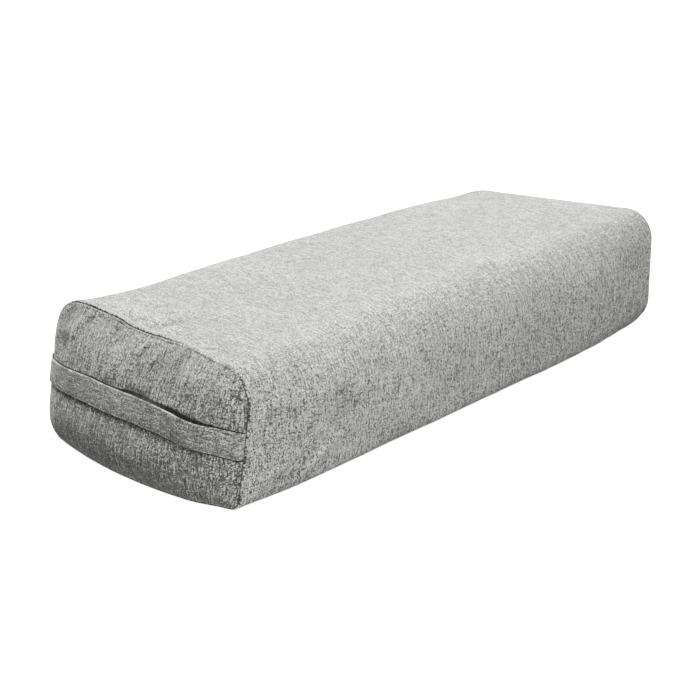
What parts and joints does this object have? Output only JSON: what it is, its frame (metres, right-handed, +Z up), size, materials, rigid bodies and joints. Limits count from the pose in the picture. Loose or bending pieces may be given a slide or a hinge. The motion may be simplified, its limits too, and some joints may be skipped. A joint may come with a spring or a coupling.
{
  "type": "rectangular yoga cushion",
  "caption": "Long filled yoga cushion of heathered grey cloth, with rounded long edges, bulging end panels and a flat cloth carrying strap that stands off the near end.",
  "frame": {"origin": "on the surface that the cushion lies on, under the middle of its overall box", "axes": "+X along the cushion, away from the strap end; -Y towards its front long side; +Z up"},
  "size_m": [0.664, 0.2798, 0.1322],
  "materials": {
    "wrap_cloth": "matt heathered plain weave of pale and dark grey yarns with linen slubs, pale streaks running round the cushion",
    "panel_cloth": "the same heathered weave, its streaks running up the panel",
    "strap_cloth": "the same heathered weave folded double, its streaks running along the strap, lower edge topstitched"
  },
  "bodies": {
    "root": {"filled_wrap": "wrap_cloth", "end_panel_near": "panel_cloth", "end_panel_far": "panel_cloth", "handle_strap": "strap_cloth"}
  },
  "joints": []
}
